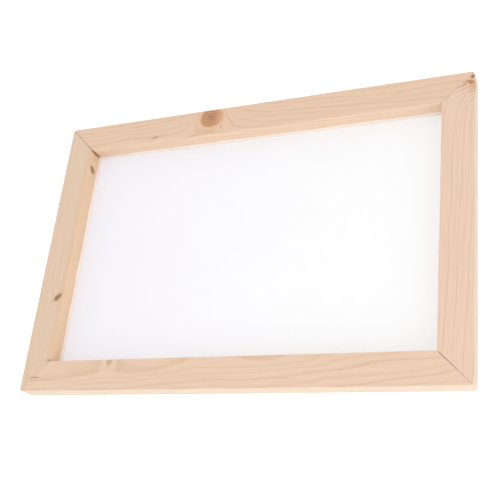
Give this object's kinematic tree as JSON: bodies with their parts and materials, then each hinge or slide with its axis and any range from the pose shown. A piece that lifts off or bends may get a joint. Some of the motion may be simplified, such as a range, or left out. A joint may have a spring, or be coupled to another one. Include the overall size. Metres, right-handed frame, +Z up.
{
  "type": "screen printing frame",
  "caption": "Rectangular mitred wooden frame with fine woven mesh stretched and glued across its underside, making a shallow well for ink that is squeegeed through a stencil.",
  "frame": {"origin": "on the surface the frame lies on, under the middle of the frame", "axes": "+X along the long side, +Y from the printer's side to the far side, +Z up out of the ink well"},
  "size_m": [0.3, 0.2036, 0.0118],
  "materials": {
    "pine": "bare planed pine, sanded, unvarnished",
    "polyester_mesh": "white monofilament, plain weave, drum tight",
    "mesh_adhesive": "dried brushed contact adhesive, cream",
    "wood_glue": "dried wood glue, red-brown",
    "nail_steel": "bright strip steel"
  },
  "bodies": {
    "root": {"rail_front": "pine", "rail_right": "pine", "rail_back": "pine", "rail_left": "pine", "mitre_glue_front_left": "wood_glue", "mitre_glue_front_right": "wood_glue", "mitre_glue_back_right": "wood_glue", "mitre_glue_back_left": "wood_glue", "v_nail_front_left_inner": "nail_steel", "v_nail_front_left_outer": "nail_steel", "v_nail_front_right_inner": "nail_steel", "v_nail_front_right_outer": "nail_steel", "v_nail_back_right_inner": "nail_steel", "v_nail_back_right_outer": "nail_steel", "v_nail_back_left_inner": "nail_steel", "v_nail_back_left_outer": "nail_steel", "adhesive_front": "mesh_adhesive", "adhesive_right": "mesh_adhesive", "adhesive_back": "mesh_adhesive", "adhesive_left": "mesh_adhesive", "printing_mesh": "polyester_mesh"}
  },
  "joints": []
}
